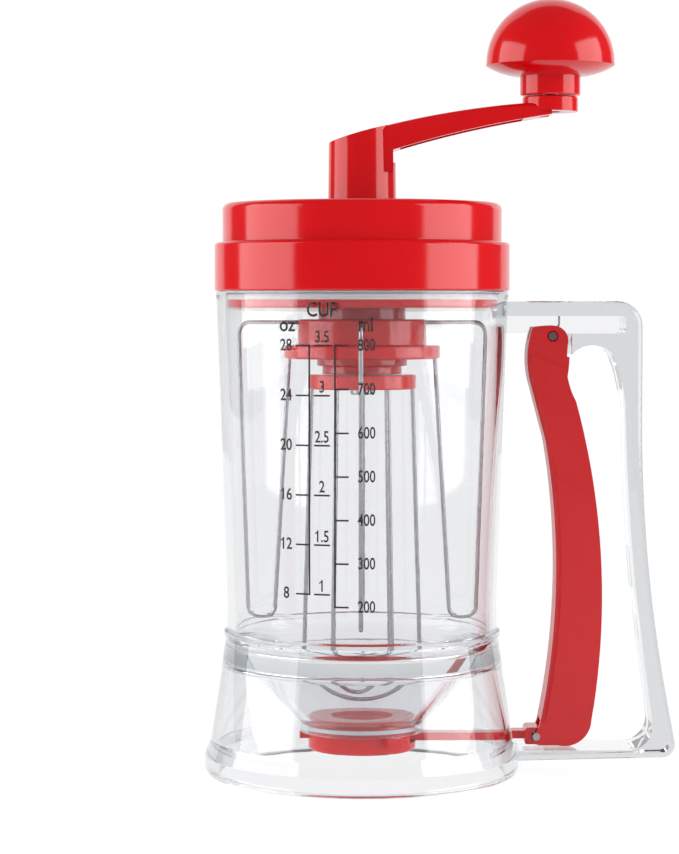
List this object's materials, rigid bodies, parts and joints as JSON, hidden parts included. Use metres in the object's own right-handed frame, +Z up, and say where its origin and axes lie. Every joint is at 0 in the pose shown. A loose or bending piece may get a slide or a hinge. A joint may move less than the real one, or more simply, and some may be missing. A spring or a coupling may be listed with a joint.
{
  "type": "pancake batter dispenser",
  "caption": "Clear measuring jar with a side grip, a trigger-driven gate valve under its funnel, and a crank lid that turns an inner and an outer wire whisk in opposite directions.",
  "frame": {"origin": "on the floor under the jar's axis, at the centre of the foot ring", "axes": "+Z up along the jar's axis, +X from the jar towards the grip and trigger"},
  "size_m": [0.1773, 0.119, 0.2914],
  "materials": {
    "clear_plastic": "clear, polished",
    "red_gloss": "glossy red",
    "red_satin": "satin red",
    "steel": "bright drawn wire",
    "silicone": "milky, matt",
    "white_plastic": "natural acetal"
  },
  "bodies": {
    "jar": {"jar_body": "clear_plastic", "jar_handle": "clear_plastic", "trigger_pin": "steel", "trigger_spring": "steel", "valve_seat": "red_gloss", "valve_seal": "silicone", "valve_cup": "red_gloss"},
    "trigger": {"trigger_lever": "red_satin", "link_pin": "steel"},
    "gate": {"gate_slide": "red_gloss"},
    "lid": {"lid_cover": "red_gloss", "lid_base": "red_gloss", "lid_seal": "silicone", "lid_bush": "white_plastic", "gear_carrier": "red_gloss", "carrier_nut": "white_plastic", "planet_pin_1": "steel", "planet_pin_2": "steel", "planet_pin_3": "steel"},
    "crank": {"crank_arm": "red_gloss", "drive_shaft": "steel", "sun_gear": "white_plastic", "inner_hub": "red_gloss", "shaft_screw": "steel", "inner_loop_1": "steel", "inner_loop_2": "steel", "inner_loop_3": "steel", "knob_spindle": "steel"},
    "knob": {"knob_base": "red_gloss", "knob_cap": "red_gloss"},
    "outer_whisk": {"ring_drum": "red_gloss", "outer_plate": "red_gloss", "outer_wing_1": "steel", "outer_wing_2": "steel", "outer_wing_3": "steel", "outer_wing_4": "steel"},
    "planet_1": {"planet_gear_1": "white_plastic"},
    "planet_2": {"planet_gear_2": "white_plastic"},
    "planet_3": {"planet_gear_3": "white_plastic"}
  },
  "joints": [
    {"name": "trigger_hinge", "type": "hinge", "parent": "jar", "child": "trigger", "pos_m": [0.0713, 0, 0.1652], "axis": [0, -1, 0], "range_deg": [0, 6.8], "stiffness_Nm_per_rad": 0.15, "springref_deg": -17.19, "deforming": ["trigger_spring"]},
    {"name": "gate_stroke", "type": "slide", "parent": "jar", "child": "gate", "axis": [1, 0, 0], "range_m": [0, 0.018]},
    {"name": "lid_lift", "type": "slide", "parent": "jar", "child": "lid", "axis": [0, 0, 1], "range_m": [0, 0.175]},
    {"name": "crank_spin", "type": "hinge", "parent": "lid", "child": "crank", "pos_m": [0, 0, 0.215], "axis": [0, 0, 1], "continuous": true},
    {"name": "knob_spin", "type": "hinge", "parent": "crank", "child": "knob", "pos_m": [0.0706, 0, 0.256], "axis": [0, 0, 1], "continuous": true},
    {"name": "outer_spin", "type": "hinge", "parent": "lid", "child": "outer_whisk", "pos_m": [0, 0, 0.165], "axis": [0, 0, 1], "continuous": true},
    {"name": "planet_spin_1", "type": "hinge", "parent": "lid", "child": "planet_1", "pos_m": [0.0132, 0, 0.165], "axis": [0, 0, 1], "continuous": true},
    {"name": "planet_spin_2", "type": "hinge", "parent": "lid", "child": "planet_2", "pos_m": [-0.0066, 0.01143, 0.165], "axis": [0, 0, 1], "continuous": true},
    {"name": "planet_spin_3", "type": "hinge", "parent": "lid", "child": "planet_3", "pos_m": [-0.0066, -0.01143, 0.165], "axis": [0, 0, 1], "continuous": true}
  ],
  "couplings": [
    {"joint": "gate_stroke", "follows": "trigger_hinge", "m_per_rad": 0.15088},
    {"joint": "outer_spin", "follows": "crank_spin", "ratio": -0.33333},
    {"joint": "planet_spin_1", "follows": "crank_spin", "ratio": -1},
    {"joint": "planet_spin_2", "follows": "crank_spin", "ratio": -1},
    {"joint": "planet_spin_3", "follows": "crank_spin", "ratio": -1}
  ]
}
